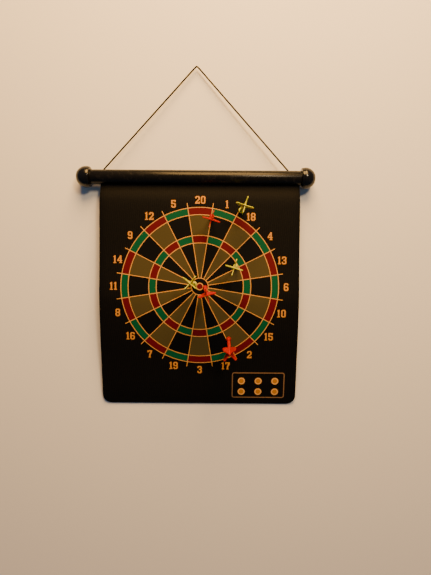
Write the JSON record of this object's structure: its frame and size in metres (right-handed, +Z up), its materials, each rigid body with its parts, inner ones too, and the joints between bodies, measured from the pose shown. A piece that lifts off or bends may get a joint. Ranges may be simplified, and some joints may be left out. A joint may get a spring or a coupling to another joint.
{
  "type": "roll-up magnetic dart board",
  "caption": "Hanging roll-up magnetic dart board: a flexible printed mat on a roller tube with ball caps and a hanging cord, and pull-off magnetic darts.",
  "frame": {"origin": "underside of the hanging cord where it lies on the nail", "axes": "+X to the right of a person facing the board, +Y into the wall behind it, +Z up"},
  "size_m": [0.455, 0.1026, 0.6581],
  "materials": {
    "tube_plastic": "satin extruded black",
    "cap_plastic": "glossy moulded black",
    "rod_plastic": "matt extruded",
    "cord": "braided black",
    "face_cloth": "fine woven black, screen printed",
    "magnet_sheet": "flexible magnetic rubber",
    "backing_cloth": "plain woven black",
    "magnet_nickel": "nickel plated",
    "yellow_plastic": "moulded pale yellow-green",
    "red_plastic": "moulded red-orange"
  },
  "bodies": {
    "hanger": {"hanging_cord": "cord"},
    "roller": {"roller_tube": "tube_plastic", "clamp_rod": "rod_plastic", "left_knot": "cord", "right_knot": "cord", "face_cloth_1": "face_cloth", "magnet_sheet_1": "magnet_sheet", "backing_1": "backing_cloth"},
    "left_cap": {"left_cap": "cap_plastic"},
    "right_cap": {"right_cap": "cap_plastic"},
    "mat_2": {"face_cloth_2": "face_cloth", "magnet_sheet_2": "magnet_sheet", "backing_2": "backing_cloth"},
    "mat_3": {"face_cloth_3": "face_cloth", "magnet_sheet_3": "magnet_sheet", "backing_3": "backing_cloth"},
    "mat_4": {"face_cloth_4": "face_cloth", "magnet_sheet_4": "magnet_sheet", "backing_4": "backing_cloth"},
    "mat_5": {"face_cloth_5": "face_cloth", "magnet_sheet_5": "magnet_sheet", "backing_5": "backing_cloth"},
    "mat_6": {"face_cloth_6": "face_cloth", "magnet_sheet_6": "magnet_sheet", "backing_6": "backing_cloth"},
    "mat_7": {"face_cloth_7": "face_cloth", "magnet_sheet_7": "magnet_sheet", "backing_7": "backing_cloth"},
    "mat_8": {"face_cloth_8": "face_cloth", "magnet_sheet_8": "magnet_sheet", "backing_8": "backing_cloth"},
    "yellow_dart_1": {"yellow_dart_1_magnet": "magnet_nickel", "yellow_dart_1_barrel": "yellow_plastic", "yellow_dart_1_flight": "yellow_plastic"},
    "yellow_dart_2": {"yellow_dart_2_magnet": "magnet_nickel", "yellow_dart_2_barrel": "yellow_plastic", "yellow_dart_2_flight": "yellow_plastic"},
    "yellow_dart_3": {"yellow_dart_3_magnet": "magnet_nickel", "yellow_dart_3_barrel": "yellow_plastic", "yellow_dart_3_flight": "yellow_plastic"},
    "red_dart_1": {"red_dart_1_magnet": "magnet_nickel", "red_dart_1_barrel": "red_plastic", "red_dart_1_flight": "red_plastic"},
    "red_dart_2": {"red_dart_2_magnet": "magnet_nickel", "red_dart_2_barrel": "red_plastic", "red_dart_2_flight": "red_plastic"},
    "red_dart_3": {"red_dart_3_magnet": "magnet_nickel", "red_dart_3_barrel": "red_plastic", "red_dart_3_flight": "red_plastic"}
  },
  "joints": [
    {"name": "roller_swing", "type": "hinge", "parent": "hanger", "child": "roller", "pos_m": [0, -0.012, -0.199], "axis": [-1, 0, 0], "range_deg": [0, 40]},
    {"name": "left_cap_pull", "type": "slide", "parent": "roller", "child": "left_cap", "axis": [-1, 0, 0], "range_m": [0, 0.04]},
    {"name": "right_cap_pull", "type": "slide", "parent": "roller", "child": "right_cap", "axis": [1, 0, 0], "range_m": [0, 0.04]},
    {"name": "mat_roll_1", "type": "hinge", "parent": "roller", "child": "mat_2", "pos_m": [0, -0.02083, -0.31576], "axis": [1, 0, 0], "range_deg": [0, 32]},
    {"name": "mat_roll_2", "type": "hinge", "parent": "mat_2", "child": "mat_3", "pos_m": [0, -0.02105, -0.36381], "axis": [1, 0, 0], "range_deg": [0, 32]},
    {"name": "mat_roll_3", "type": "hinge", "parent": "mat_3", "child": "mat_4", "pos_m": [0, -0.02231, -0.40583], "axis": [1, 0, 0], "range_deg": [0, 32]},
    {"name": "mat_roll_4", "type": "hinge", "parent": "mat_4", "child": "mat_5", "pos_m": [0, -0.02332, -0.44764], "axis": [1, 0, 0], "range_deg": [0, 32]},
    {"name": "mat_roll_5", "type": "hinge", "parent": "mat_5", "child": "mat_6", "pos_m": [0, -0.01881, -0.49527], "axis": [1, 0, 0], "range_deg": [0, 32]},
    {"name": "mat_roll_6", "type": "hinge", "parent": "mat_6", "child": "mat_7", "pos_m": [0, -0.01125, -0.54864], "axis": [1, 0, 0], "range_deg": [0, 32]},
    {"name": "mat_roll_7", "type": "hinge", "parent": "mat_7", "child": "mat_8", "pos_m": [0, -0.00318, -0.60208], "axis": [1, 0, 0], "range_deg": [0, 32]},
    {"name": "yellow_dart_1_pull", "type": "slide", "parent": "roller", "child": "yellow_dart_1", "axis": [0.061, -0.9981, 0.0087], "range_m": [0, 0.06]},
    {"name": "yellow_dart_2_pull", "type": "slide", "parent": "mat_3", "child": "yellow_dart_2", "axis": [-0.0957, -0.9935, -0.061], "range_m": [0, 0.06]},
    {"name": "yellow_dart_3_pull", "type": "slide", "parent": "mat_4", "child": "yellow_dart_3", "axis": [-0.0871, -0.9952, 0.0436], "range_m": [0, 0.06]},
    {"name": "red_dart_1_pull", "type": "slide", "parent": "roller", "child": "red_dart_1", "axis": [-0.0085, -0.9763, -0.2164], "range_m": [0, 0.06]},
    {"name": "red_dart_2_pull", "type": "slide", "parent": "mat_4", "child": "red_dart_2", "axis": [0.077, -0.9786, -0.1908], "range_m": [0, 0.06]},
    {"name": "red_dart_3_pull", "type": "slide", "parent": "mat_6", "child": "red_dart_3", "axis": [0.0083, -0.9455, -0.3256], "range_m": [0, 0.06]}
  ],
  "couplings": [
    {"joint": "mat_roll_2", "follows": "mat_roll_1", "ratio": 1},
    {"joint": "mat_roll_3", "follows": "mat_roll_1", "ratio": 1},
    {"joint": "mat_roll_4", "follows": "mat_roll_1", "ratio": 1},
    {"joint": "mat_roll_5", "follows": "mat_roll_1", "ratio": 1},
    {"joint": "mat_roll_6", "follows": "mat_roll_1", "ratio": 1},
    {"joint": "mat_roll_7", "follows": "mat_roll_1", "ratio": 1}
  ]
}
